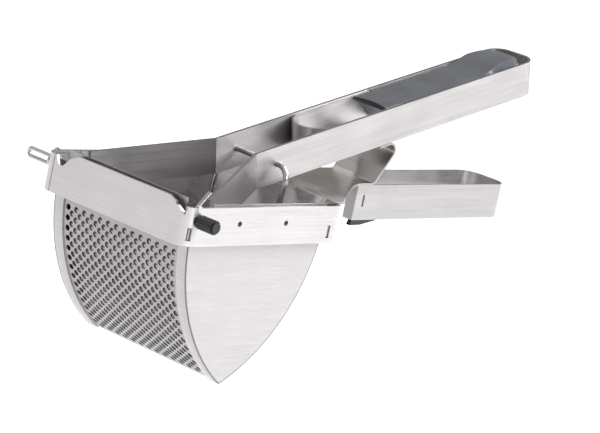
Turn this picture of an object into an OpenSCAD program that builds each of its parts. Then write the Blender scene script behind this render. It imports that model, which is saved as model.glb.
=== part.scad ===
// Hand-held stainless potato ricer: a V-shaped sieve hopper in a strip frame, with a
// lever that swings a curved press plate about one cross pin.
// Origin: middle of the front wall's lower edge. +X runs back along the handles, +Z up.

/* [Frame] */
// Overall width of the frame band, side to side
frame_w = 106; // [100:1:112]
// Overall length of the frame band, front to back
frame_len = 117.5; // [114:0.5:122]
// Height of the strip that the frame is bent from
band_h = 19.5; // [18:0.5:22]
// Thickness of the frame and handle strips
strip_t = 1.5; // [1.2:0.1:1.8]
// How far the front wall stands above the rest of the band
front_rise = 3.2; // [2:0.1:4]

/* [Hopper] */
// Outside width of the hopper over its side plates
hopper_w = 98; // [96:0.5:99]
// Thickness of the hopper's sheets
sheet_t = 0.8; // [0.7:0.1:1]
// Diameter of one sieve hole
hole_d = 3.3; // [2.8:0.1:3.6]
// Distance between neighbouring holes in a row
hole_pitch = 6; // [5.6:0.1:6.4]
// Number of hole rows down the sieve
hole_rows = 28; // [20:1:28]

/* [Lever] */
// Slope of the closed lever above the frame, in degrees
lever_angle = 14.57; // [14:0.01:15]
// Height of the lever's strip
lever_h = 19.6; // [18:0.2:20]
// Outside width of the lever's grip
grip_w = 31; // [29:0.5:32]

/* [Lower handle] */
// Outside width of the lower handle
lower_w = 30.6; // [29:0.2:31]
// Distance from the frame's front to the rear end of the lower handle
handle_reach = 299.5; // [290:0.5:305]

/* [Pin] */
// Radius of the cross pin
pin_r = 1.9; // [1.7:0.05:2]
// Radius of the ribbed end knob
knob_r = 3.65; // [3.4:0.05:4]

/* [Hidden] */
$fn = 96;

steel = "silver";
fit = 0.05;
far_out = 400;

// Frame
front_corner_r = 9;
bump_x = 8.4;
bump_r = 1.3;
rear_corner_r = 9;
side_hole_r = 1.45;
side_hole_x = [38.8, 72.7];
side_hole_z = -8.4;
slot_w = 2.3;
slot_z = [-16.8, -10.2];
slot_front_x = 4;
slot_rear_x = 105;
joint_y = 44;
joint_gap = 0.4;
bar_t = 1.2;

// Hopper arcs, in the X-Z plane: the rear arc is centred on the pin
pin_x = 9.4;
pin_z = -6.6;
front_arc = [107, -13.3];
front_arc_r = 97.6;
rear_arc_r = 97.4;
shoulder_z = -21;
lip = [2.1, 4.2];
front_kink = [6.4, -10.6];
front_neck = [4.3, -7];
rear_top = [114.9, 0.3];
side_t = 1;
flange_w = 5.8;
ear_r = 5.6;
lip_far_y = 37.5;
rear_lip_y = 41.5;
hopper_y = hopper_w / 2 - side_t;
low_z = shoulder_z - 1;
open_z = 12;
first_row_angle = 7.8;
row_step = 2.85;
row_angle = row_step / front_arc_r * 180 / PI;
holes_per_row = 14;

// Where the two arcs meet at the bottom of the hopper
arc_gap = norm([pin_x - front_arc[0], pin_z - front_arc[1]]);
arc_along = (pow(front_arc_r, 2) - pow(rear_arc_r, 2) + pow(arc_gap, 2)) / (2 * arc_gap);
arc_drop = sqrt(pow(front_arc_r, 2) - pow(arc_along, 2));
arc_dir = [pin_x - front_arc[0], pin_z - front_arc[1]] / arc_gap;
tip_x = front_arc[0] + arc_dir[0] * arc_along - arc_dir[1] * arc_drop;

// Lever, in its own frame: x along the strip's top edge, z square to it
lever_zero = [0, -4.33];
lever_t = 1.6;
arm_front_x = 23.8;
arm_front_y = 44.6;
arm_bend_x = 85.3;
lever_end_x = handle_reach / cos(lever_angle);
handle_corner_r = 10;
pin_lx = pin_x * cos(lever_angle) + (pin_z - lever_zero[1]) * sin(lever_angle);
pin_lz = -pin_x * sin(lever_angle) + (pin_z - lever_zero[1]) * cos(lever_angle);
arm_eye_r = 2.85;
liner_t = 1.2;
liner_front_x = 132.8;
liner_back_x = 200;
insert_front_x = 186.2;
insert_gap = 0.3;
insert_end_x = lever_end_x - 9.5;

// Bail, in the frame's X-Z plane
bail_r = 1.5;
bail_bend_r = 7;
bail_y = 24;
bail_top = [99.35, 11.9];
bail_knee = [97.2, -15];
bail_foot = [44.5, -74.5];

// Press plate
press_t = 1.5;
press_gap = 1.5;
press_half_w = 46.8;
press_r = front_arc_r - 2 * sheet_t - press_gap;
press_reach = rear_arc_r - 2 * sheet_t - 1.2;
tube_r = 2.8;
tube_half_w = 42.3;

// Lower handle and stop guard
lower_front_x = 168.2;
guard_t = 1.2;
guard_fold_x = 177.5;

// X of the front and of the rear arc at height z, on the outline inset by off
function front_x(z, off) = front_arc[0] - sqrt(pow(front_arc_r - off, 2) - pow(z - front_arc[1], 2));
function rear_x(z, off) = pin_x + sqrt(pow(rear_arc_r - off, 2) - pow(z - pin_z, 2));

// Turns an X-Z drawing into a slab between two y values
module slab(y0, y1) {
    translate([0, max(y0, y1), 0])
        rotate([90, 0, 0])
            linear_extrude(abs(y1 - y0))
                children();
}

// Moves a shape from the frame's front top edge to the part's own origin
module placed() {
    translate([-strip_t / 2, 0, band_h])
        children();
}

// Moves a shape from the lever's own frame to the frame's
module on_lever() {
    translate([lever_zero[0], 0, lever_zero[1]])
        rotate([0, -lever_angle, 0])
            children();
}

// Cylinder that lies across the part, between two y values
module cross_rod(r, x, z, y0, y1) {
    translate([x, max(y0, y1), z])
        rotate([90, 0, 0])
            cylinder(r = r, h = abs(y1 - y0));
}

// Round bar between two points
module bar(a, b, r) {
    d = b - a;
    translate(a)
        rotate([0, acos(d[2] / norm(d)), atan2(d[1], d[0])])
            cylinder(r = r, h = norm(d));
}

// Hopper outline in the X-Z plane, inset by off
module arch_2d(off) {
    intersection() {
        translate(front_arc) circle(r = front_arc_r - off);
        translate([pin_x, pin_z]) circle(r = rear_arc_r - off);
        translate([-far_out / 2, shoulder_z - far_out]) square([far_out, far_out]);
    }
    polygon([[front_x(low_z, off), low_z],
             [front_x(shoulder_z, off), shoulder_z],
             [front_kink[0] + off, front_kink[1]],
             [front_neck[0] + off, front_neck[1]],
             [lip[0] + off, lip[1]],
             [lip[0] + off, open_z + off],
             [rear_top[0] - off, open_z + off],
             [rear_top[0] - off, rear_top[1]],
             [rear_x(shoulder_z, off), shoulder_z],
             [rear_x(low_z, off), low_z]]);
}

// Plan outline of a box with round corners: front and rear radii differ
module band_plan(inset) {
    half = frame_w / 2 - inset;
    rf = front_corner_r - inset;
    rr = rear_corner_r - inset;
    x1 = frame_len - inset;
    translate([inset + rf, -half]) square([x1 - rr - inset - rf, 2 * half]);
    translate([inset, -half + rf]) square([rf + 1, 2 * (half - rf)]);
    translate([x1 - rr - 1, -half + rr]) square([rr + 1, 2 * (half - rr)]);
    for (s = [-1, 1]) {
        translate([inset + rf, s * (half - rf)]) circle(r = rf);
        translate([x1 - rr, s * (half - rr)]) circle(r = rr);
    }
}

module band_ring(z0, z1) {
    translate([0, 0, z0])
        linear_extrude(z1 - z0)
            difference() {
                band_plan(0);
                band_plan(strip_t);
            }
}

// Outline that the front wall keeps, seen from the front: Y across, Z up
module front_outline() {
    half = frame_w / 2 + 1;
    polygon([[-half, -band_h - 1], [half, -band_h - 1], [half, 0], [joint_y - 1, 0],
             [joint_y - 3, -4.4], [joint_y - 6.5, -4.4], [33, 0.4], [27, front_rise],
             [-38.5, front_rise], [-45, 0.9], [-49.6, -4.2], [-50.6, 0], [-half, 0]]);
}

module frame_band() color(steel) placed()
    difference() {
        union() {
            band_ring(-band_h, 0);
            intersection() {
                band_ring(-1, front_rise);
                translate([-1, -joint_y, -2]) cube([strip_t + 1, 2 * joint_y, far_out]);
            }
            for (s = [-1, 1]) cross_rod(bump_r, bump_x, 0, s * frame_w / 2, s * (frame_w / 2 - strip_t));
        }
        difference() {
            translate([-1, -frame_w / 2 + 1, -band_h / 2])
                cube([4, frame_w - 2, far_out]);
            translate([-2, 0, 0]) rotate([90, 0, 90]) linear_extrude(far_out) front_outline();
        }
        translate([-1, joint_y, -band_h - 1]) cube([strip_t + 2, joint_gap, band_h + front_rise + 2]);
        for (x = side_hole_x) cross_rod(side_hole_r, x, side_hole_z, -far_out, far_out);
        cross_rod(pin_r + fit, pin_x, pin_z, -far_out, far_out);
        for (x = [slot_front_x, slot_rear_x], s = [-1, 1])
            translate([x, s * frame_w / 2 - 5, slot_z[0]]) cube([slot_w, 10, slot_z[1] - slot_z[0]]);
    }

// Bar behind the front wall, whose end tabs stand in the frame's slots
module front_cross_bar() color(steel) placed() {
    x = slot_front_x + slot_w - bar_t - 0.3;
    translate([x, -frame_w / 2 + 3.2, slot_z[0]]) cube([bar_t, frame_w - 6.4, slot_z[1] - slot_z[0]]);
    for (s = [-1, 1])
        translate([x, s * (frame_w / 2 - 2.5) - 1, slot_z[0] + 0.3])
            cube([bar_t, 2, slot_z[1] - slot_z[0] - 0.6]);
}

// One side plate, with its in-turned flange and the ear that hangs on the pin
module side_plate(s) {
    y0 = s * hopper_y;
    y1 = s * (hopper_y + side_t);
    difference() {
        union() {
            slab(y0, y1) difference() {
                arch_2d(0);
                translate([-5, -12]) square([27, 60]);
                translate([0, 0.4]) square([far_out, 60]);
            }
            slab(y0, y1) intersection() {
                arch_2d(2 * sheet_t);
                translate([pin_x, pin_z]) circle(r = ear_r);
            }
            slab(y0, y1) intersection() {
                arch_2d(2 * sheet_t);
                translate([3, -14]) square([12, 8]);
            }
            slab(y1, y0 - s * flange_w) difference() {
                arch_2d(0);
                arch_2d(sheet_t);
                translate([-far_out / 2, shoulder_z]) square([far_out, 60]);
            }
        }
        cross_rod(pin_r + 0.6, pin_x, pin_z, -far_out, far_out);
    }
}

module side_plate_near() color(steel) placed() side_plate(-1);

module side_plate_far() color(steel) placed() side_plate(1);

// The hopper's sheet from x0 to x1, up to top_z: the layer just inside the side plates' flanges
module hopper_sheet(x0, x1, top_z) {
    slab(-hopper_y, hopper_y) intersection() {
        difference() {
            arch_2d(sheet_t);
            arch_2d(2 * sheet_t);
        }
        translate([x0, top_z - far_out]) square([x1 - x0, far_out]);
    }
}

module sieve_hole(row, i) {
    count = holes_per_row - row % 2;
    y = (i - (count - 1) / 2) * hole_pitch;
    translate([front_arc[0], y, front_arc[1]])
        rotate([0, -90 - first_row_angle - row * row_angle, 0])
            translate([0, 0, front_arc_r - 4])
                cylinder(d = hole_d, h = 6, $fn = 24);
}

module front_sieve() color(steel) placed()
    difference() {
        hopper_sheet(-5, tip_x, lip[1]);
        translate([-5, lip_far_y, -2.5]) cube([15, 20, 20]);
        for (row = [0 : hole_rows - 1], i = [0 : holes_per_row - 1 - row % 2]) sieve_hole(row, i);
    }

module rear_wall() color(steel) placed()
    difference() {
        hopper_sheet(tip_x, 125, rear_top[1]);
        for (s = [-1, 1]) translate([105, s * (rear_lip_y + 10) - 10, -4]) cube([20, 20, 20]);
    }

// Lugs on the side plates that stand in the frame's rear slots
module hopper_lugs() color(steel) placed()
    for (s = [-1, 1])
        translate([slot_rear_x + 0.8, s * (frame_w / 2 - 2.4) - 1.6, slot_z[0] + 0.5])
            cube([bar_t, 3.2, slot_z[1] - slot_z[0] - 1]);

// Side profile of the stop guard: base, riser and forward-curled lip
module guard_profile() {
    curl = [187.68, 18.99];
    curl_r = 4.84;
    rise = atan2(14.2, 9.5);
    polygon([[117.6, -1.6], [160, -0.02], [180, -0.02], [182.2, 2.1], [191.7, 16.3],
             [191.7 - guard_t * sin(rise), 16.3 + guard_t * cos(rise)], [181.2, 2.8],
             [179.5, guard_t], [160, guard_t], [117.6, -0.4]]);
    translate(curl) {
        difference() {
            circle(r = curl_r);
            circle(r = curl_r - guard_t);
            rotate(90 + lever_angle) translate([-20, 0]) square([40, 20]);
            rotate(rise - 90) translate([-20, -20]) square([40, 20 - 0.3]);
        }
        rotate(lever_angle) translate([-8, curl_r - guard_t]) square([8.2, guard_t]);
    }
}

// Plan of the stop guard: full frame width tapering to the handle's width
module guard_plan() {
    w0 = 44.5;
    w1 = lower_w / 2 + 0.2;
    polygon([[117.6, -w0], [123, -w0], [150, -w1 - 10], [158, -w1 - 4.6], [166, -w1 - 1], [172, -w1],
             [200, -w1], [200, w1], [172, w1], [166, w1 + 1], [158, w1 + 4.6], [150, w1 + 10],
             [123, w0], [117.6, w0]]);
}

module stop_guard() color(steel) placed() {
    intersection() {
        slab(-50, 50) guard_profile();
        translate([0, 0, -5]) linear_extrude(40) guard_plan();
    }
    translate([frame_len, -38, -band_h + 2]) cube([guard_t, 76, band_h - 3.2]);
}

// Strip's outline seen from above, with round corners of radius r at its end
module end_plan(half, x0, end_x, r) {
    translate([x0, -half]) square([end_x - r - x0, 2 * half]);
    translate([end_x - r - 1, -half + r]) square([r + 1, 2 * (half - r)]);
    for (s = [-1, 1]) translate([end_x - r, s * (half - r)]) circle(r = r);
}

// U-shaped strip seen from above
module u_plan(half, t, x0, end_x, r) {
    difference() {
        end_plan(half, x0, end_x, r);
        end_plan(half - t, x0 - 2, end_x - t, r - t);
    }
}

module lower_handle() color(steel) placed() {
    half = lower_w / 2;
    difference() {
        translate([0, 0, -band_h])
            linear_extrude(band_h - 0.02)
                u_plan(half, strip_t, lower_front_x, handle_reach, handle_corner_r);
        for (s = [-1, 1]) translate([173.8, s * half - 5, -11.9]) cube([1.6, 10, 6.4]);
    }
    for (s = [-1, 1])
        translate([lower_front_x, s * (half - strip_t / 2 - 3) - 3, -band_h])
            cube([strip_t, 6, band_h - 0.02]);
}

// Bar across the lower handle, whose tabs stand in the strip's slots
module handle_cross_bar() color(steel) placed()
    translate([174, -lower_w / 2 + 0.9, -11.7]) cube([bar_t, lower_w - 1.8, 6]);

// Black pads under the front ends of the lower handle's strips
module heel_pads() color([0.05, 0.05, 0.06]) placed()
    for (s = [-1, 1])
        slab(s * lower_w / 2, s * (lower_w / 2 - 2.6))
            polygon([[167.6, -22.4], [168.6, -band_h - 0.02], [188, -band_h - 0.02], [188, -band_h - 0.4],
                     [176, -22.2]]);

module pivot_pin() color(steel) placed()
    cross_rod(pin_r, pin_x, pin_z, -frame_w / 2 - 9, frame_w / 2 + 2.6);

module end_knob() color([0.05, 0.05, 0.06]) placed() {
    y0 = -frame_w / 2 - 0.5;
    y1 = y0 - 11.5;
    ribs = 16;
    difference() {
        union() {
            cross_rod(knob_r - 0.3, pin_x, pin_z, y0, y1 + 1);
            cross_rod(knob_r - 0.9, pin_x, pin_z, y0, y1);
            for (i = [0 : ribs - 1])
                cross_rod(0.42, pin_x + (knob_r - 0.42) * cos(i * 360 / ribs),
                          pin_z + (knob_r - 0.42) * sin(i * 360 / ribs), y0 - 0.6, y1 + 0.8);
        }
        cross_rod(pin_r, pin_x, pin_z, y0 + 1, -frame_w / 2 - 9);
    }
}

module pin_collar() color(steel) placed()
    difference() {
        cross_rod(3.4, pin_x, pin_z, frame_w / 2 + 0.4, frame_w / 2 + 2.6);
        cross_rod(pin_r, pin_x, pin_z, 0, far_out);
    }

// Wire bow on the pin's far end, to pull the pin out by
module pull_loop() color(steel) placed() {
    y0 = frame_w / 2 + 2.6;
    y1 = y0 + 15.5;
    half = 2.1;
    wire_r = 1.05;
    for (s = [-1, 1])
        bar([pin_x, y0, pin_z + s * half], [pin_x, y1, pin_z + s * half], wire_r);
    translate([pin_x, y1, pin_z])
        rotate([0, -90, 0])
            intersection() {
                rotate_extrude() translate([half, 0]) circle(r = wire_r, $fn = 24);
                translate([-5, 0, -5]) cube(10);
            }
}

// Filled plan of the lever, inset by off: two arms that close in to the straight grip
module lever_plan(off) {
    half = grip_w / 2 - off;
    bend = atan2(arm_front_y - grip_w / 2, arm_bend_x - arm_front_x);
    mitre = off * tan(bend / 2);
    r = handle_corner_r - off;
    end_x = lever_end_x - off;
    polygon([[-off, -arm_front_y + off], [arm_front_x - mitre, -arm_front_y + off],
             [arm_bend_x - mitre, -half], [end_x - r, -half], [end_x - r, half],
             [arm_bend_x - mitre, half], [arm_front_x - mitre, arm_front_y - off],
             [-off, arm_front_y - off]]);
    translate([end_x - r - 1, -half + r]) square([r + 1, 2 * (half - r)]);
    for (s = [-1, 1]) translate([end_x - r, s * (half - r)]) circle(r = r);
}

// Side outline of the lever strip: an eye, a short tongue, then the full strip
module lever_side() {
    eye = [for (a = [73.5 : 7 : 248.5]) [pin_lx + arm_eye_r * cos(a), pin_lz + arm_eye_r * sin(a)]];
    polygon(concat(eye, [[arm_front_x, -14], [arm_front_x, -lever_h], [far_out, -lever_h], [far_out, 0],
                         [arm_front_x, 0], [arm_front_x, -7]]));
}

module lever_strip() color(steel) placed()
    difference() {
        on_lever() intersection() {
            translate([0, 0, -lever_h]) linear_extrude(lever_h) difference() {
                lever_plan(0);
                lever_plan(lever_t);
            }
            slab(-60, 60) lever_side();
        }
        cross_rod(pin_r + fit, pin_x, pin_z, -far_out, far_out);
        cross_rod(bail_r + fit, bail_top[0], bail_top[1], -far_out, far_out);
    }

// Inner strip that closes the front of the grip
module handle_liner() color(steel) placed() on_lever() {
    half = grip_w / 2 - lever_t - 0.02;
    translate([0, 0, -lever_h + 0.4])
        linear_extrude(lever_h - 1)
            mirror([1, 0]) u_plan(half, liner_t, -liner_back_x, -liner_front_x, half - 0.6);
}

// Dark moulded filling of the grip, crowned near its end
module grip_insert() color([0.26, 0.27, 0.29]) placed() on_lever() {
    half = grip_w / 2 - lever_t - liner_t - insert_gap;
    rear_half = grip_w / 2 - lever_t - insert_gap;
    crown_r = 110;
    crown_x = lever_end_x - 24;
    intersection() {
        translate([0, 0, -lever_h + 3])
            linear_extrude(lever_h + 4) {
                translate([insert_front_x, -half]) square([liner_back_x + 1 - insert_front_x, 2 * half]);
                end_plan(rear_half, liner_back_x + 0.4, insert_end_x, handle_corner_r);
            }
        slab(-20, 20) {
            translate([insert_front_x - 1, -lever_h]) square([insert_end_x - insert_front_x + 2, lever_h - 0.5]);
            intersection() {
                translate([crown_x, 2.6 - crown_r]) circle(r = crown_r, $fn = 360);
                translate([insert_front_x, -lever_h + 1]) square([200, 60]);
            }
        }
    }
}

// Washers on the pin, between the hopper's ears and the lever's eyes
module spacer_washers() color(steel) placed()
    for (s = [-1, 1])
        difference() {
            cross_rod(arm_eye_r, pin_x, pin_z, s * (arm_front_y + 0.01), s * (hopper_y - 0.4));
            cross_rod(pin_r + fit, pin_x, pin_z, -far_out, far_out);
        }

// Curved plate that sweeps the hopper, parallel to the front sieve at rest
module press_plate() color(steel) placed()
    difference() {
        union() {
            slab(-press_half_w, press_half_w) intersection() {
                difference() {
                    translate(front_arc) circle(r = press_r);
                    translate(front_arc) circle(r = press_r - press_t);
                }
                translate([pin_x, pin_z]) circle(r = press_reach);
                translate([0, -14 - far_out]) square([tip_x + 20, far_out]);
            }
            slab(-tube_half_w, tube_half_w)
                polygon([[8.2, pin_z - 2.2], [11.2, pin_z - 0.6], [14, -12], [14, -14.2], [12.6, -14.2],
                         [12.4, -12.4]]);
        }
        cross_rod(tube_r, pin_x, pin_z, -far_out, far_out);
    }

module press_hinge_tube() color(steel) placed()
    difference() {
        cross_rod(tube_r, pin_x, pin_z, -tube_half_w, tube_half_w);
        cross_rod(pin_r + fit, pin_x, pin_z, -far_out, far_out);
    }

// Lugs on the back of the press plate that take the bail's feet
module press_eyelets() color(steel) placed()
    for (s = [-1, 1])
        difference() {
            slab(s * bail_y - 3, s * bail_y + 3)
                difference() {
                    translate(bail_foot) circle(r = 5.6);
                    translate([bail_foot[0] - 1, bail_foot[1] + 1.4]) square([20, 20]);
                    difference() {
                        translate(front_arc) circle(r = press_r + 30);
                        translate(front_arc) circle(r = press_r - press_t);
                    }
                }
            wire_leg(s, bail_r + 0.03);
            translate([bail_foot[0], s * bail_y, bail_foot[1]]) sphere(r = bail_r + 0.04, $fn = 48);
        }

// Straight run of one leg of the bail: down, then forward to the press plate
module wire_leg(s, r) {
    lean = bail_knee - bail_top;
    start = bail_top + lean / norm(lean) * bail_bend_r;
    knee = [bail_knee[0], s * bail_y, bail_knee[1]];
    bar([start[0], s * bail_y, start[1]], knee, r);
    bar(knee, [bail_foot[0], s * bail_y, bail_foot[1]], r);
    translate(knee) sphere(r = r + 0.02, $fn = 48);
}

// Quarter bend between the bail's cross rod and one leg
module wire_bend(s) {
    lean = atan2(bail_top[0] - bail_knee[0], bail_top[1] - bail_knee[1]);
    side = bail_y - bail_bend_r;
    translate([bail_top[0], 0, bail_top[1]])
        rotate([0, lean, 0])
            translate([0, s * side, -bail_bend_r])
                intersection() {
                    rotate([0, 90, 0])
                        rotate_extrude() translate([bail_bend_r, 0]) circle(r = bail_r, $fn = 48);
                    translate([-4, s > 0 ? 0 : -20, 0]) cube([8, 20, 20]);
                }
}

module wire_bail() color(steel) placed() {
    side = bail_y - bail_bend_r;
    cross_rod(bail_r, bail_top[0], bail_top[1], -side, side);
    for (s = [-1, 1]) {
        wire_leg(s, bail_r);
        wire_bend(s);
        translate([bail_foot[0], s * bail_y, bail_foot[1]]) sphere(r = bail_r + 0.02, $fn = 48);
    }
}

frame_band();
front_cross_bar();
side_plate_near();
side_plate_far();
front_sieve();
rear_wall();
hopper_lugs();
stop_guard();
lower_handle();
handle_cross_bar();
heel_pads();
pivot_pin();
end_knob();
pull_loop();
pin_collar();
lever_strip();
handle_liner();
grip_insert();
spacer_washers();
press_plate();
press_hinge_tube();
press_eyelets();
wire_bail();
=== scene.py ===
"""Looks of the potato ricer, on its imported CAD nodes.

Every node gets brushed steel or moulded plastic, the grip's filling is replaced by a softer
shape, and the object is shown in a pale, softly lit studio.
"""
import math

import bmesh
import bpy
from mathutils import Matrix, Vector


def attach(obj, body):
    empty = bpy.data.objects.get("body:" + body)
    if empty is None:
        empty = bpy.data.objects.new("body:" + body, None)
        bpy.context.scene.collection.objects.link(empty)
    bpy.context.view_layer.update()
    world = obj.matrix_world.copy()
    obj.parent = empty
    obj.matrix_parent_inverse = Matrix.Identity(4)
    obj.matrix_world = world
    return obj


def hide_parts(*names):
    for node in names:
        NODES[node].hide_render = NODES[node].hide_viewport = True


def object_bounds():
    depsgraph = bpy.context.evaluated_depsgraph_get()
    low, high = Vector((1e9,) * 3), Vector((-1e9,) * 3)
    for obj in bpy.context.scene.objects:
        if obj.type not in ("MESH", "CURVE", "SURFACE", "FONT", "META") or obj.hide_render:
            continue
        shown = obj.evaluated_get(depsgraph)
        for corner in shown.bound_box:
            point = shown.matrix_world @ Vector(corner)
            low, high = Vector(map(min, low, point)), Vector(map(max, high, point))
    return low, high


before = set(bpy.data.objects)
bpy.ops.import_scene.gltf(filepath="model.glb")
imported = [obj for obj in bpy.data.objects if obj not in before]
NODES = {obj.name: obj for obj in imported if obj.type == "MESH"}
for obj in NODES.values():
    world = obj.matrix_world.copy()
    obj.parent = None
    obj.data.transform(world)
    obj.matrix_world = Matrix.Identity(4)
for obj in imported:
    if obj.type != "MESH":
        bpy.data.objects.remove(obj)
CAD_LO, CAD_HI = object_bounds()
MM = 0.001


# ---------------------------------------------------------------- camera
CAM_AZIMUTH = -49.44
CAM_ELEVATION = 11.59
CAM_ROLL = 12.11
CAM_LENS = 168.0
CAM_SENSOR = 36.0
CAM_POS = Vector((-0.97025, -0.9531, 0.2984))


def add_camera():
    azimuth, elevation, roll = (math.radians(v) for v in (CAM_AZIMUTH, CAM_ELEVATION, CAM_ROLL))
    level = math.cos(elevation)
    back = Vector((math.sin(azimuth) * level, -math.cos(azimuth) * level, math.sin(elevation)))
    right = Vector((math.cos(azimuth), math.sin(azimuth), 0.0))
    up = back.cross(right)
    rolled_right = right * math.cos(roll) + up * math.sin(roll)
    rolled_up = up * math.cos(roll) - right * math.sin(roll)
    data = bpy.data.cameras.new("camera")
    data.lens = CAM_LENS
    data.sensor_width = CAM_SENSOR
    data.clip_start = 0.01
    data.clip_end = 60.0
    camera = bpy.data.objects.new("camera", data)
    turn = Matrix((rolled_right, rolled_up, back)).transposed()
    camera.matrix_world = Matrix.Translation(CAM_POS) @ turn.to_4x4()
    bpy.context.scene.collection.objects.link(camera)
    bpy.context.scene.camera = camera


# ---------------------------------------------------------------- node trees
class Tree:
    """Short calls for building a node tree. An input is a plain value or another node's output."""

    MIX_A, MIX_B, MIX_RESULT = 6, 7, 2

    def __init__(self, node_tree):
        self.node_tree = node_tree

    def node(self, kind, **props):
        made = self.node_tree.nodes.new(kind)
        for key, value in props.items():
            setattr(made, key, value)
        return made

    def feed(self, socket, value):
        if hasattr(value, "links"):
            self.node_tree.links.new(value, socket)
        elif socket.type == "RGBA":
            socket.default_value = (*value, 1.0)
        else:
            socket.default_value = value

    def coords(self, scale, rotation=(0, 0, 0)):
        """Object coordinates turned into the grain's own axes, then stretched."""
        turn = self.node("ShaderNodeMapping", vector_type="POINT")
        self.feed(turn.inputs["Vector"], self.node("ShaderNodeTexCoord").outputs["Object"])
        self.feed(turn.inputs["Rotation"], rotation)
        stretch = self.node("ShaderNodeMapping", vector_type="POINT")
        self.feed(stretch.inputs["Vector"], turn.outputs["Vector"])
        self.feed(stretch.inputs["Scale"], scale)
        return stretch.outputs["Vector"]

    def split(self, vector):
        parts = self.node("ShaderNodeSeparateXYZ")
        self.feed(parts.inputs["Vector"], vector)
        return parts.outputs["X"], parts.outputs["Y"], parts.outputs["Z"]

    def noise(self, vector, detail, rough=0.6):
        made = self.node("ShaderNodeTexNoise")
        self.feed(made.inputs["Vector"], vector)
        self.feed(made.inputs["Scale"], 1.0)
        self.feed(made.inputs["Detail"], detail)
        self.feed(made.inputs["Roughness"], rough)
        return made.outputs["Fac"]

    def spread(self, value, lo, hi, in_lo=0.3, in_hi=0.7):
        """value, clamped to in_lo..in_hi and carried over to lo..hi."""
        made = self.node("ShaderNodeMapRange", clamp=True)
        for socket, v in zip(("Value", "From Min", "From Max", "To Min", "To Max"),
                             (value, in_lo, in_hi, lo, hi)):
            self.feed(made.inputs[socket], v)
        return made.outputs["Result"]

    def math(self, operation, a, b=0.0):
        made = self.node("ShaderNodeMath", operation=operation)
        self.feed(made.inputs[0], a)
        self.feed(made.inputs[1], b)
        return made.outputs["Value"]

    def mix(self, factor, a, b):
        made = self.node("ShaderNodeMix", data_type="RGBA")
        self.feed(made.inputs[0], factor)
        self.feed(made.inputs[self.MIX_A], a)
        self.feed(made.inputs[self.MIX_B], b)
        return made.outputs[self.MIX_RESULT]

    def bump(self, height, strength, distance, normal=None):
        made = self.node("ShaderNodeBump")
        self.feed(made.inputs["Height"], height)
        self.feed(made.inputs["Strength"], strength)
        self.feed(made.inputs["Distance"], distance)
        if normal is not None:
            self.feed(made.inputs["Normal"], normal)
        return made.outputs["Normal"]

    def ramp(self, value, stops):
        made = self.node("ShaderNodeValToRGB")
        self.feed(made.inputs["Fac"], value)
        elements = made.color_ramp.elements
        while len(elements) < len(stops):
            elements.new(0.5)
        for element, (position, grey) in zip(elements, stops):
            element.position = position
            element.color = (*grey, 1.0)
        return made.outputs["Color"]


class Material(Tree):
    def __init__(self, name):
        self.mat = bpy.data.materials.new(name)
        self.mat.use_nodes = True
        super().__init__(self.mat.node_tree)
        self.shader = self.node_tree.nodes["Principled BSDF"]

    def surface(self, values):
        """Feeds the shader's inputs and returns the finished material."""
        for socket, value in values.items():
            self.feed(self.shader.inputs[socket], value)
        return self.mat


def scaled(colour, factor):
    return tuple(c * factor for c in colour)


# ---------------------------------------------------------------- brushed steel
# Grains are noise scales along x, y and z, per metre: lines run along the axes with low ones
LEVEL = (24, 24, 1500)
LEVEL_SHORT = (80, 80, 1700)
ACROSS = (1200, 25, 1200)
ACROSS_FINE = (1300, 22, 1300)
TURNED = (1800, 60, 1800)
DRAWN = (400, 400, 400)
BROAD_LINES = 0.3
FINE_SHARE = 0.65
SMUDGES = (38, 38, 38)
WAVE_AND_REFLECTION_GRAIN = (55, 55, 7)

# Tones as shares of the steel's tint, in red, green and blue
LINE_DARK = (0.84, 0.815, 0.82)
LINE_LIGHT = (1.1, 1.065, 1.075)
# Painted shade: the dark line along a side plate's fold
FOLD_SHADE = (0.3, 0.3, 0.31)
# Sheared edges: partly duller sheared metal, partly painted shade
CUT_AND_SHADE_DARK = (0.42, 0.41, 0.41)
# Painted reflection: the soft darker bands of the waves' noise
WAVE_REFLECTION_SHADE = 0.84
WAVE_REFLECTION_SHARE = 0.45
SMUDGE_SHADE = 0.88
SMUDGE_SHARE = 0.3

# The part of each noise's range that is spread out from none to full
HAIR_RANGE = (0.34, 0.66)
WAVE_REFLECTION_RANGE = (0.35, 0.65)
SMUDGE_RANGE = (0.45, 0.75)
# How steeply a face looks up or down where it starts to count as a sheared edge with painted shade,
# and where it fully does
CUT_AND_SHADE_RANGE = (0.85, 0.95)

LINE_GLOSS = 0.06
SMUDGE_GLOSS = (-0.04, 0.05)
LINE_BUMP = 0.3
LINE_DEPTH = 0.03 * MM
WAVE_BUMP = 0.25
WAVE_DEPTH = 1.2 * MM
ANISOTROPY = 0.75
QUARTER_TURN = 0.25

LEVER_TILT = math.radians(14.57)
ON_LEVER = (0, LEVER_TILT, 0)

# The hopper's outline: centre x, centre z and radius of its front and rear arcs
HOPPER_ARCS = ((106.25 * MM, 6.2 * MM, 97.6 * MM), (8.65 * MM, 12.9 * MM, 97.4 * MM))
# The painted fold shade is full up to the first distance from the outline and gone at the second
FOLD_SHADE_FADE = (0.35 * MM, 0.8 * MM)
PLATE_FACE_MARGIN = 0.3 * MM
PLATE_FACE_BLEND = 0.5 * MM
PLATE_FACE_Y = max(abs(v.co.y) for v in NODES["side_plate_near"].data.vertices) - PLATE_FACE_MARGIN


def tinted(tint, shares, warm=0.0):
    """The tint in the given shares, with less green and still less blue as warm rises."""
    return tuple(tint * (share - i * warm) for i, share in enumerate(shares))


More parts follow.
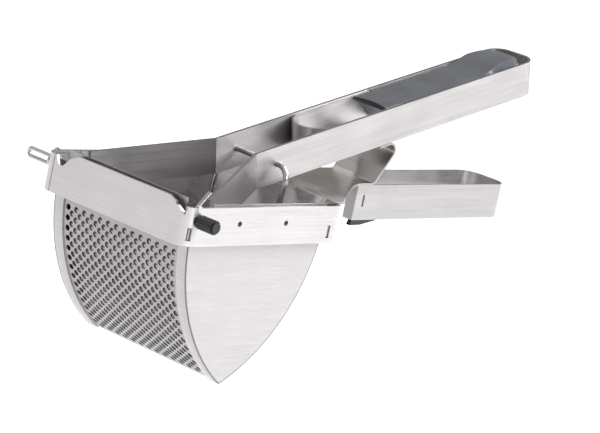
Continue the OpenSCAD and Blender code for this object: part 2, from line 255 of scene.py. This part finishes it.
def fold_shade_mask(m):
    """1 along the outline of a side plate's face, where its sheet bends in, 0 elsewhere: the mask
    of the painted shade along that bend.
    """
    x, y, z = m.split(m.coords((1, 1, 1)))
    gaps = []
    for centre_x, centre_z, radius in HOPPER_ARCS:
        dx = m.math("SUBTRACT", x, centre_x)
        dz = m.math("SUBTRACT", z, centre_z)
        square = m.math("ADD", m.math("MULTIPLY", dx, dx), m.math("MULTIPLY", dz, dz))
        gaps.append(m.math("SUBTRACT", radius, m.math("SQRT", square)))
    edge = m.spread(m.math("MINIMUM", *gaps), 1.0, 0.0, *FOLD_SHADE_FADE)
    face = m.spread(m.math("ABSOLUTE", y), 0.0, 1.0, PLATE_FACE_Y - PLATE_FACE_BLEND, PLATE_FACE_Y)
    return m.math("MULTIPLY", edge, face)


def cut_edge_and_shade(m):
    """1 on faces looking up or down, a strip's sheared upper and lower edges: darker partly as
    duller sheared metal, partly as painted shade over their highlight.
    """
    _, _, up = m.split(m.node("ShaderNodeTexCoord").outputs["Normal"])
    return m.spread(m.math("ABSOLUTE", up), 0.0, 1.0, *CUT_AND_SHADE_RANGE)


def steel(name, tint, rough, grain=LEVEL, rotation=(0, 0, 0), around="Z", lines=1.0, waves=1.0,
          warm=0.0, fold_shaded=False, cut_and_shade=False):
    """Brushed stainless: hair lines, soft waves with painted reflection bands, smudges and patchy
    gloss, and where asked painted shade along a side plate's fold and on up- and down-facing
    sheared edges.

    around is the axis of the tangent that stretches the highlights, or None to leave them round.
    """
    m = Material(name)
    fine = m.noise(m.coords(grain, rotation), detail=4.0, rough=0.7)
    broad = m.noise(m.coords(scaled(grain, BROAD_LINES), rotation), detail=2.0)
    smudge = m.noise(m.coords(SMUDGES), detail=3.0, rough=0.55)
    wave_and_reflection = m.noise(m.coords(WAVE_AND_REFLECTION_GRAIN, rotation), detail=2.0, rough=0.4)
    hair = m.math("ADD", m.math("MULTIPLY", fine, FINE_SHARE),
                  m.math("MULTIPLY", broad, 1 - FINE_SHARE))

    light = tinted(tint, LINE_LIGHT, warm)
    tone = m.mix(m.spread(hair, 0.0, 1.0, *HAIR_RANGE), tinted(tint, LINE_DARK, warm), light)
    # Painted reflection: soft darker bands that stand in for reflections in the steel
    tone = m.mix(m.spread(wave_and_reflection, 0.0, WAVE_REFLECTION_SHARE, *WAVE_REFLECTION_RANGE), tone, scaled(light, WAVE_REFLECTION_SHADE))
    smudged = m.spread(smudge, 0.0, SMUDGE_SHARE, *SMUDGE_RANGE)
    tone = m.mix(smudged, tone, scaled(light, SMUDGE_SHADE))
    # Painted shade: a dark line along the side plate's fold, where the bend would be shaded
    if fold_shaded:
        tone = m.mix(fold_shade_mask(m), tone, tinted(tint, FOLD_SHADE))
    # Up- and down-facing faces darker: partly duller sheared metal, partly painted shade that hides
    # their highlight
    if cut_and_shade:
        tone = m.mix(cut_edge_and_shade(m), tone, tinted(tint, CUT_AND_SHADE_DARK))

    gloss = m.math("ADD", m.spread(hair, rough - LINE_GLOSS, rough + LINE_GLOSS),
                   m.spread(smudge, *SMUDGE_GLOSS))
    relief = m.bump(wave_and_reflection, WAVE_BUMP * waves, WAVE_DEPTH)
    relief = m.bump(hair, LINE_BUMP * lines, LINE_DEPTH, relief)
    if around:
        tangent = m.node("ShaderNodeTangent", direction_type="RADIAL", axis=around)
        m.surface({"Anisotropic": ANISOTROPY,
                   "Anisotropic Rotation": QUARTER_TURN if around == "Z" else 0.0,
                   "Tangent": tangent.outputs["Tangent"]})
    return m.surface({"Base Color": tone, "Roughness": gloss, "Normal": relief, "Metallic": 1.0})


# ---------------------------------------------------------------- moulded plastic
SPARK_GRAIN = (2200, 2200, 2200)
FLOW_MARKS = (45, 120, 120)
GRAIN_BUMP = 0.25
GRAIN_DEPTH = 0.04 * MM


def moulded(name, colour, rough):
    """Moulded plastic: fine spark-eroded grain, faint flow marks and rubbed patches."""
    m = Material(name)
    fine = m.noise(m.coords(SPARK_GRAIN), detail=2.0)
    flow = m.noise(m.coords(FLOW_MARKS), detail=3.0)
    tone = m.mix(m.spread(flow, 0.0, 1.0), scaled(colour, 0.82), scaled(colour, 1.2))
    tone = m.mix(m.spread(fine, 0.0, 0.3, 0.5, 0.8), tone, tuple(c * 1.6 + 0.01 for c in colour))
    gloss = m.math("ADD", m.spread(flow, rough - 0.06, rough + 0.08), m.spread(fine, -0.02, 0.04))
    return m.surface({"Base Color": tone, "Roughness": gloss,
                      "Normal": m.bump(fine, GRAIN_BUMP, GRAIN_DEPTH)})


# ---------------------------------------------------------------- the CAD nodes
# The same stainless steel gets a different tint on each part: painted light and shade, set so each
# part comes out as light or dark as wanted, lightest on the liner and band, darkest on the sieve,
# press plate and guard
MATERIALS = {
    "band": steel("steel_band", 0.65, 0.3),
    "plate": steel("steel_side_plate", 0.56, 0.36, LEVEL_SHORT, waves=1.6, fold_shaded=True),
    "sieve": steel("steel_sieve", 0.42, 0.34, ACROSS, around="Y"),
    "rear": steel("steel_rear_wall", 0.55, 0.26, ACROSS, around="Y", warm=0.012),
    "lever": steel("steel_lever", 0.5, 0.38, rotation=ON_LEVER, cut_and_shade=True),
    "liner": steel("steel_liner", 0.78, 0.32, rotation=ON_LEVER, cut_and_shade=True),
    "guard": steel("steel_guard", 0.45, 0.22, ACROSS_FINE, around="Y", waves=0.3, warm=0.02),
    "handle": steel("steel_lower_handle", 0.5, 0.32),
    "press": steel("steel_press_plate", 0.44, 0.3, ACROSS, around="Y", warm=0.01),
    "turned": steel("steel_turned", 0.55, 0.24, TURNED, around=None),
    "wire": steel("steel_wire", 0.5, 0.16, DRAWN, around=None, lines=0.4, waves=0.2),
    "knob": moulded("plastic_knob", (0.012, 0.012, 0.014), 0.34),
    "grip": moulded("plastic_grip", (0.055, 0.06, 0.07), 0.42),
    "heel": moulded("plastic_heel", (0.014, 0.014, 0.016), 0.4),
}
FINISH = {
    "frame_band": "band", "front_cross_bar": "turned", "side_plate_near": "plate",
    "side_plate_far": "plate", "front_sieve": "sieve", "rear_wall": "rear",
    "hopper_lugs": "turned", "stop_guard": "guard", "lower_handle": "handle",
    "handle_cross_bar": "turned", "heel_pads": "heel", "pivot_pin": "turned",
    "end_knob": "knob", "pull_loop": "wire", "pin_collar": "turned", "lever_strip": "lever",
    "handle_liner": "liner", "grip_insert": "grip", "spacer_washers": "turned",
    "press_plate": "press", "press_hinge_tube": "turned", "press_eyelets": "turned",
    "wire_bail": "wire",
}
# Width of the broken edges, in millimetres
EDGE_MM = {
    "frame_band": 0.3, "side_plate_near": 0.2, "side_plate_far": 0.2, "stop_guard": 0.2,
    "lower_handle": 0.3, "lever_strip": 0.3, "handle_liner": 0.2, "rear_wall": 0.15,
    "press_plate": 0.2, "end_knob": 0.1, "heel_pads": 0.2, "front_sieve": 0.12,
}
BROKEN_ABOVE = math.radians(50)
CREASE_ABOVE = math.radians(32)


def split_creases(obj, angle):
    obj.modifiers.new("crisp_edges", "EDGE_SPLIT").split_angle = angle


def finish_nodes():
    """Gives every CAD node its material, soft edges and smooth curved faces."""
    for name, obj in NODES.items():
        obj.data.materials.clear()
        obj.data.materials.append(MATERIALS[FINISH[name]])
        for face in obj.data.polygons:
            face.use_smooth = True
        if name in EDGE_MM:
            soft = obj.modifiers.new("soft_edges", "BEVEL")
            soft.width = EDGE_MM[name] * MM
            soft.segments = 1
            soft.limit_method = "ANGLE"
            soft.angle_limit = BROKEN_ABOVE
        split_creases(obj, CREASE_ABOVE)


# ---------------------------------------------------------------- the grip's filling
GRIP_BODY = "lever"
GRIP_STEPS = 120
CAD_CROWN = 3.1 * MM
CROWN_RISE = 4.4 * MM
CROWN_START = 36.0 * MM
CROWN_RAMP = 17.0 * MM
CROWN_FALL = 0.55
FALL_LENGTH = 19.0 * MM
CROWN_SQUARENESS = 0.14
CAMBER = 0.15 * MM
LIP_DEPTH = 3.0 * MM
LIP_LENGTH = 16.0 * MM
LIP_RECESS = 2.5 * MM
LIP_UNDERCUT = 2.5 * MM
LIP_FADE = 30.0 * MM
SHOULDER = 1.5 * MM
REAR_CORNER = 8.5 * MM
TOP_ROUND = 0.8 * MM
ROUND_MIDDLE = 0.29
ACROSS_TOP = (1.0, 0.94, 0.86, 0.75, 0.6, 0.45, 0.3, 0.15)
GRIP_CREASE = math.radians(48)


def smooth_step(x):
    x = min(max(x, 0.0), 1.0)
    return x * x * (3 - 2 * x)


def on_lever(u, y, v):
    """x, y and z of the point that is u along the lever, y across it and v above it."""
    c, s = math.cos(LEVER_TILT), math.sin(LEVER_TILT)
    return (u * c - v * s, y, u * s + v * c)


def grip_limits():
    """The CAD filling's ends, bottom, flat top, half widths and step, along and above the lever."""
    c, s = math.cos(LEVER_TILT), math.sin(LEVER_TILT)
    node = NODES["grip_insert"]
    world = [node.matrix_world @ v.co for v in node.data.vertices]
    points = [(p.x * c + p.z * s, abs(p.y), p.z * c - p.x * s) for p in world]
    along, across, above = zip(*points)
    start = min(along)
    half = max(y for u, y, v in points if u < start + MM)
    step = min(u for u, y, v in points if y > half + 0.5 * MM)
    return start, max(along), min(above), max(above) - CAD_CROWN, half, max(across), step


def grip_ring(u, limits):
    """One section across the filling: sides, rounded shoulders and a crowned top."""
    start, end, bottom, flat, half, rear_half, step = limits
    left = end - u
    width = half + (rear_half - half) * smooth_step((u - step) / SHOULDER)
    if left < REAR_CORNER:
        width -= REAR_CORNER - math.sqrt(REAR_CORNER ** 2 - (REAR_CORNER - left) ** 2)
    rise = smooth_step((CROWN_START - left) / CROWN_RAMP)
    fall = 1 - CROWN_FALL * max(0.0, 1 - left / FALL_LENGTH) ** 2
    crown = CROWN_RISE * rise * fall + CAMBER
    lip = 1 - smooth_step((u - start) / LIP_LENGTH)
    under = bottom + (flat - LIP_DEPTH - bottom) * lip
    r = min(TOP_ROUND, width * 0.5)
    side = [(width, under), (width, flat - r),
            (width - ROUND_MIDDLE * r, flat - ROUND_MIDDLE * r)]
    side += [((width - r) * f, flat + crown * (1 - f * f) ** CROWN_SQUARENESS) for f in ACROSS_TOP]
    section = side + [(0.0, flat + crown)] + [(-y, v) for y, v in reversed(side)]
    fade = max(0.0, 1 - (u - start) / LIP_FADE)
    ring = []
    for y, v in section:
        recess = LIP_RECESS * (1 - (y / width) ** 2) + LIP_UNDERCUT * (v == under)
        ring.append(on_lever(u + fade * recess, y, v))
    return ring


def grip_filling():
    """The grip's moulded filling: flat, with a soft crown near the end and a thin front lip."""
    limits = grip_limits()
    start, end = limits[:2]
    bm = bmesh.new()
    rings = [[bm.verts.new(p) for p in grip_ring(start + (end - start) * i / GRIP_STEPS, limits)]
             for i in range(GRIP_STEPS + 1)]
    size = len(rings[0])
    for a, b in zip(rings, rings[1:]):
        for i in range(size):
            j = (i + 1) % size
            bm.faces.new((a[i], a[j], b[j], b[i]))
    bm.faces.new(rings[0])
    bm.faces.new(reversed(rings[-1]))
    bmesh.ops.recalc_face_normals(bm, faces=bm.faces)
    for face in bm.faces:
        face.smooth = True
    piece = new_object("grip_filling", bm, MATERIALS["grip"])
    split_creases(piece, GRIP_CREASE)
    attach(piece, GRIP_BODY)
    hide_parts("grip_insert")


def new_object(name, bm, material):
    mesh = bpy.data.meshes.new(name)
    bm.to_mesh(mesh)
    bm.free()
    mesh.materials.append(material)
    obj = bpy.data.objects.new(name, mesh)
    bpy.context.scene.collection.objects.link(obj)
    return obj


# ---------------------------------------------------------------- stage
FLOOR_SIZE = 24.0
FLOOR_CENTRE = (0.1, 0.0)
FLOOR_GAP = 0.1
FLOOR_GREYS = ((0.2, 0.2, 0.2), (0.24, 0.24, 0.24))
FLOOR_GLOW = ((1.0, 1.0, 1.0), (0.8, 0.8, 0.81))
FADE_DIRECTION = math.radians(-139.0)
# How far along that direction the glow starts to fade and has faded, in metres
FADE_RANGE = (0.1, 0.9)

# Name, place, size and power
LIGHTS = (
    ("key", (0.8, -0.7, 0.85), (0.8, 0.8), 12),
    ("top", (0.35, -0.35, 1.25), (0.7, 0.7), 5),
    ("side", (0.0, -1.2, 0.42), (0.7, 0.4), 4.5),
    ("rear", (1.25, -0.2, 0.75), (0.8, 0.6), 14),
    ("back", (0.5, 1.0, 1.1), (0.9, 0.6), 1.8),
)

# The sky goes by height, from straight down at 0 to straight up at 1, and the dim side by the
# cosine of the angle to its direction
SKY = ((0.0, (0.9, 0.9, 0.9)), (0.5, (0.62, 0.62, 0.63)), (0.62, (0.7, 0.7, 0.7)),
       (0.8, (1.0, 1.0, 1.0)))
DIM_SIDE = ((0.55, (0.0, 0.0, 0.0)), (0.9, (1.0, 1.0, 1.0)))
DIM_DIRECTION = (0.744, 0.637, 0.2)
DIM_COLOUR = (0.42, 0.4, 0.37)
SKY_STRENGTH = 0.75


def floor_material():
    """White and self-lit, a little greyer towards the camera's left."""
    m = Material("studio_floor")
    tone = m.mix(m.spread(m.noise(m.coords((6, 6, 6)), detail=2.0), 0.0, 1.0), *FLOOR_GREYS)
    along, _, _ = m.split(m.coords((1, 1, 1), (0, 0, FADE_DIRECTION)))
    glow = m.mix(m.spread(along, 0.0, 1.0, *FADE_RANGE), *FLOOR_GLOW)
    return m.surface({"Base Color": tone, "Emission Color": glow, "Emission Strength": 1.0,
                      "Roughness": 0.9})


def add_floor():
    bm = bmesh.new()
    h = FLOOR_SIZE / 2
    bm.faces.new([bm.verts.new((x, y, 0.0)) for x, y in ((-h, -h), (h, -h), (h, h), (-h, h))])
    obj = new_object("floor", bm, floor_material())
    obj.matrix_world = Matrix.Translation((*FLOOR_CENTRE, CAD_LO.z - FLOOR_GAP))


def add_lights():
    aim = (CAD_LO + CAD_HI) / 2
    for name, place, size, power in LIGHTS:
        data = bpy.data.lights.new(name, "AREA")
        data.shape = "RECTANGLE"
        data.size, data.size_y = size
        data.energy = power
        light = bpy.data.objects.new(name, data)
        turn = (Vector(place) - aim).to_track_quat("Z", "Y").to_matrix().to_4x4()
        light.matrix_world = Matrix.Translation(place) @ turn
        bpy.context.scene.collection.objects.link(light)


def studio_world():
    """Pale all round, with one dim warm side that the mirror-like guard picks up."""
    world = bpy.data.worlds.new("studio")
    bpy.context.scene.world = world
    world.use_nodes = True
    t = Tree(world.node_tree)
    direction = t.node("ShaderNodeTexCoord").outputs["Generated"]
    _, _, up = t.split(direction)
    sky = t.ramp(t.math("ADD", t.math("MULTIPLY", up, 0.5), 0.5), SKY)
    side = t.node("ShaderNodeVectorMath", operation="DOT_PRODUCT")
    t.feed(side.inputs[0], direction)
    t.feed(side.inputs[1], DIM_DIRECTION)
    dim = t.ramp(side.outputs["Value"], DIM_SIDE)
    background = world.node_tree.nodes["Background"]
    t.feed(background.inputs["Color"], t.mix(dim, sky, DIM_COLOUR))
    t.feed(background.inputs["Strength"], SKY_STRENGTH)


def add_stage():
    add_floor()
    add_lights()
    studio_world()
    bpy.context.scene.view_settings.view_transform = "Standard"


add_camera()
finish_nodes()
grip_filling()
add_stage()
